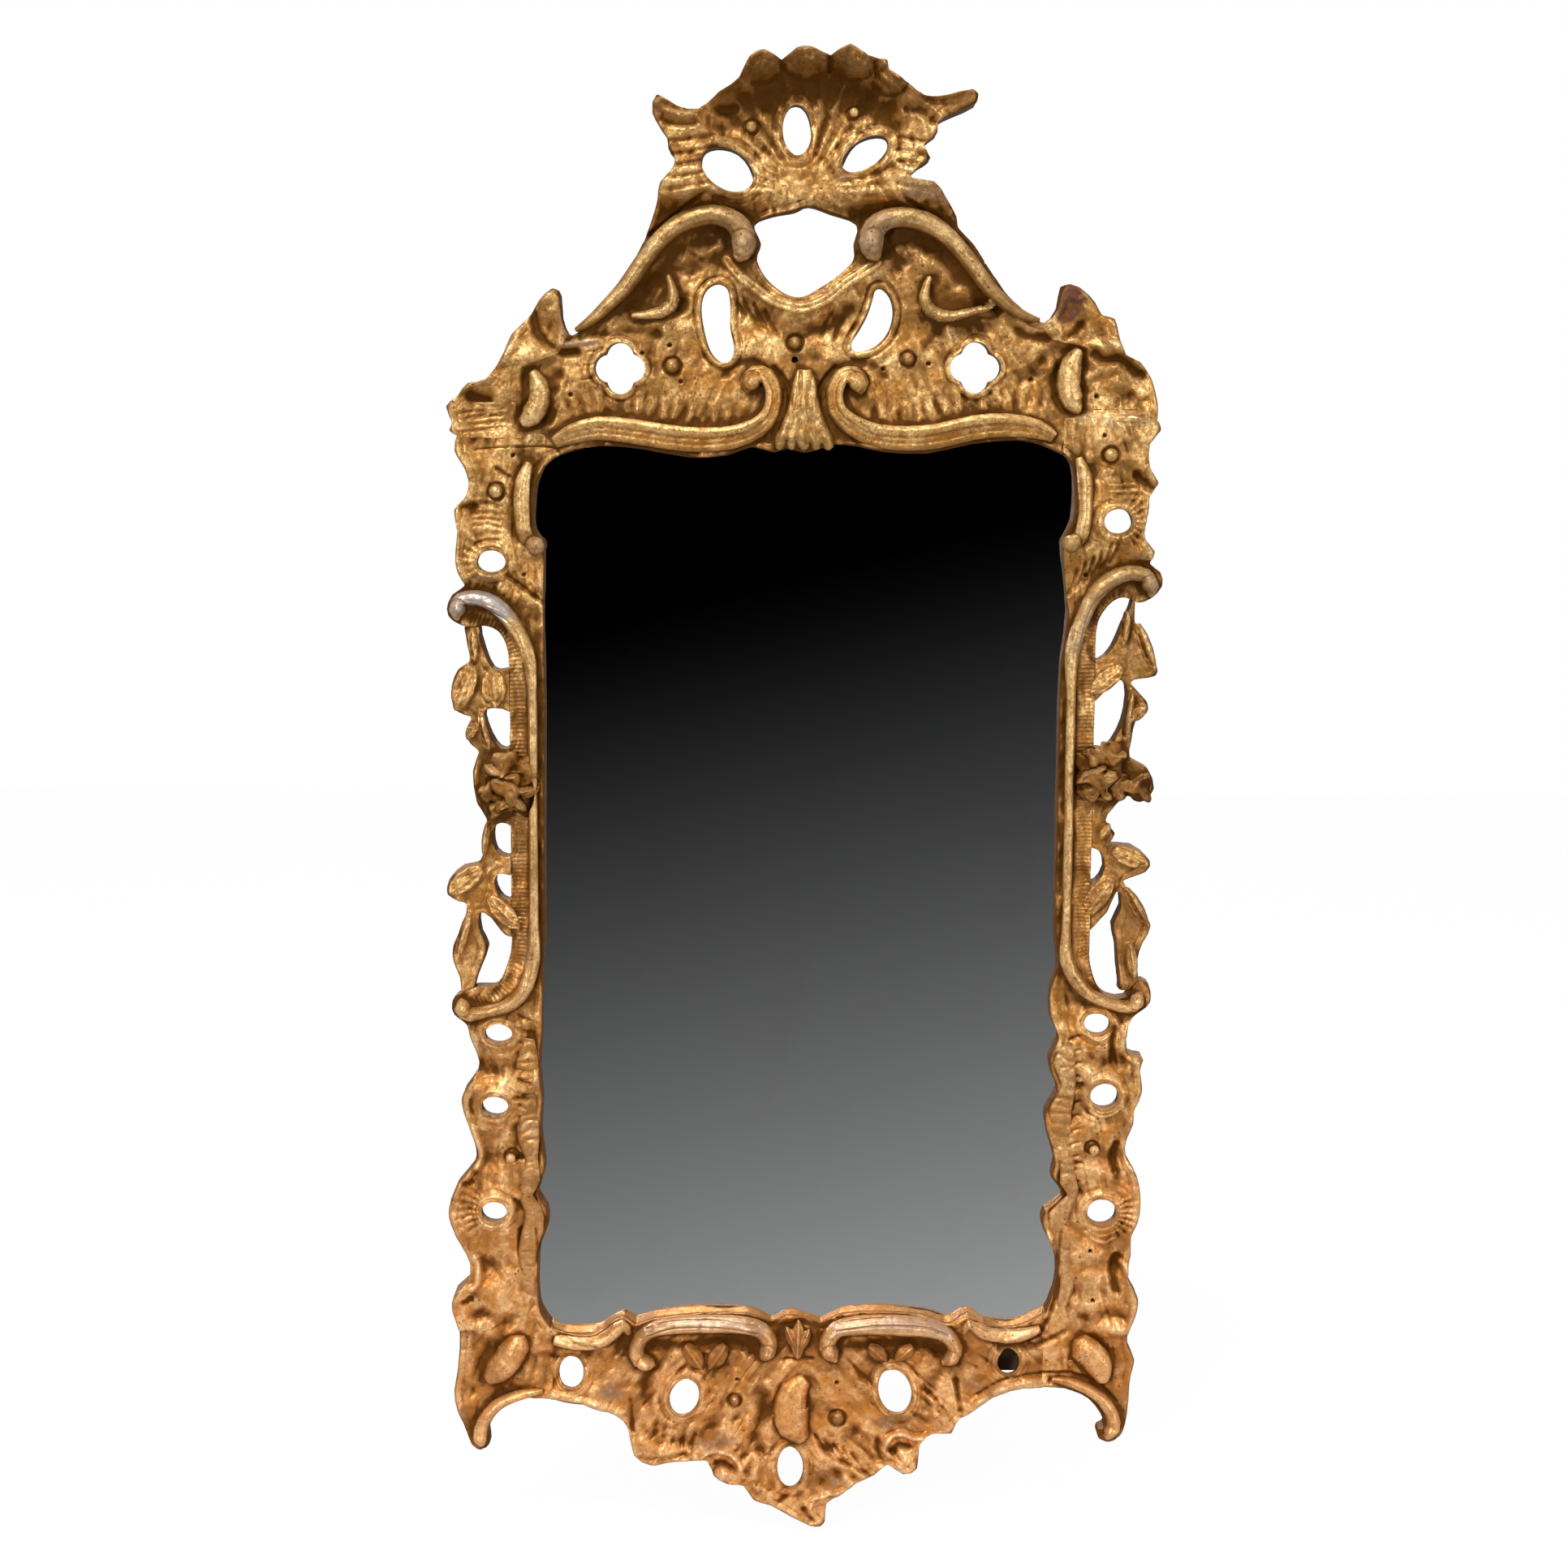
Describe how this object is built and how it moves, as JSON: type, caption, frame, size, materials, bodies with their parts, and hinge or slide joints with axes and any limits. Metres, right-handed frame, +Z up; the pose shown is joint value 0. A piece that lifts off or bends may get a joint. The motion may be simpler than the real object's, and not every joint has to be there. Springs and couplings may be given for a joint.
{
  "type": "giltwood mirror",
  "caption": "Tall wall mirror in a pierced and carved giltwood frame with a shell crest, C-scroll sides, a shaped apron and a hinged hanging ring.",
  "frame": {"origin": "on the wall plane, at the middle line of the mirror plate, on the rear face of the centre backboard", "axes": "+Z up along the height, +X to the viewer's right, +Y into the wall, so the carved front faces -Y"},
  "size_m": [0.5283, 0.05, 1.111],
  "materials": {
    "gilding": "worn gold leaf on carved wood",
    "burnished_gilding": "rubbed gold leaf on carved wood",
    "coppery_gilding": "warm toned gold leaf over red clay",
    "bare_wood": "aged dry softwood",
    "iron": "old forged iron",
    "mirror_plate": "old silvered glass"
  },
  "bodies": {
    "mirror": {"left_stile": "gilding", "right_stile": "gilding", "crest_rail": "gilding", "crest_cartouche": "gilding", "left_top_moulding": "gilding", "right_top_moulding": "gilding", "left_rose": "gilding", "right_rose": "gilding", "left_crest_scroll": "burnished_gilding", "right_crest_scroll": "burnished_gilding", "left_crest_curl": "burnished_gilding", "right_crest_curl": "burnished_gilding", "palmette": "burnished_gilding", "left_upper_moulding": "burnished_gilding", "right_upper_moulding": "burnished_gilding", "left_lower_moulding": "burnished_gilding", "right_lower_moulding": "burnished_gilding", "left_bottom_moulding": "burnished_gilding", "right_bottom_moulding": "burnished_gilding", "left_c_scroll": "burnished_gilding", "right_c_scroll": "burnished_gilding", "left_apron_scroll": "burnished_gilding", "right_apron_scroll": "burnished_gilding", "apron_fleuron": "burnished_gilding", "top_left_cabochon": "burnished_gilding", "top_right_cabochon": "burnished_gilding", "pearls": "burnished_gilding", "apron_rail": "coppery_gilding", "left_foliage": "coppery_gilding", "right_foliage": "coppery_gilding", "left_foot_scroll": "coppery_gilding", "right_foot_scroll": "coppery_gilding", "apron_leaves": "coppery_gilding", "bottom_left_cabochon": "coppery_gilding", "bottom_right_cabochon": "coppery_gilding", "apron_cabochon": "coppery_gilding", "glazing_blocks": "bare_wood", "left_backboard": "bare_wood", "centre_backboard": "bare_wood", "right_backboard": "bare_wood", "corner_pegs": "bare_wood", "left_crest_cleat": "bare_wood", "right_crest_cleat": "bare_wood", "repair_block": "bare_wood", "backboard_nails": "iron", "hanger_plate": "iron", "hanger_pin": "iron", "hanger_screws": "iron", "mirror_plate": "mirror_plate"},
    "ring": {"hanger_ring": "iron"}
  },
  "joints": [
    {"name": "ring_hinge", "type": "hinge", "parent": "mirror", "child": "ring", "pos_m": [0, -0.0027, 0.4], "axis": [-1, 0, 0], "range_deg": [0, 175]}
  ]
}
